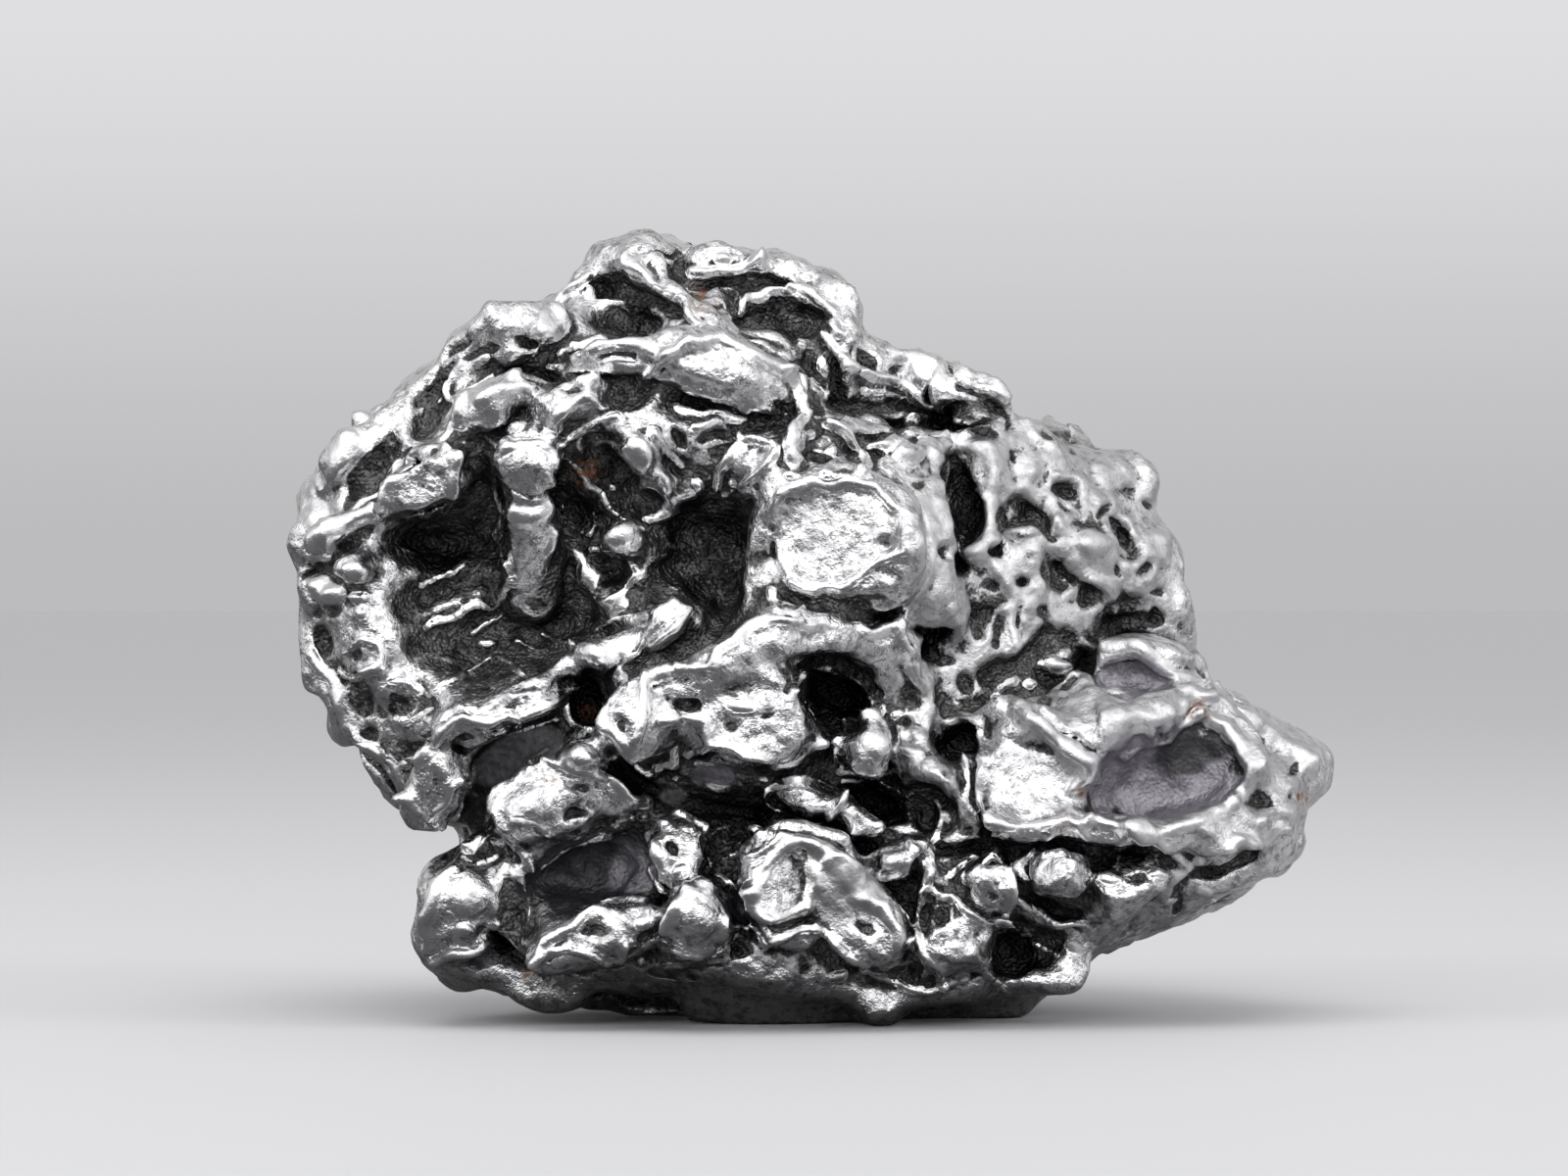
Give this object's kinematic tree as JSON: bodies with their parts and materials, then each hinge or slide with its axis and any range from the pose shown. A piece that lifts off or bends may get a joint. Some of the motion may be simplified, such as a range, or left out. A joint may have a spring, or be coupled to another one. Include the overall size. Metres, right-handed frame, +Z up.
{
  "type": "iron meteorite",
  "caption": "Lump of polished nickel-iron with knobs, thumbprint hollows and deep dark cracks, resting on a small flat spot",
  "frame": {"origin": "a point of the small flat spot that the lump rests on, under the middle of its best side", "axes": "+Z up, -Y out of the best side towards the viewer, +X to the viewer's right, along the length of the lump"},
  "size_m": [0.046, 0.0281, 0.0347],
  "materials": {
    "polished_iron": "polished on the high places, granular black oxide in the hollows"
  },
  "bodies": {
    "root": {"iron_meteorite": "polished_iron"}
  },
  "joints": []
}
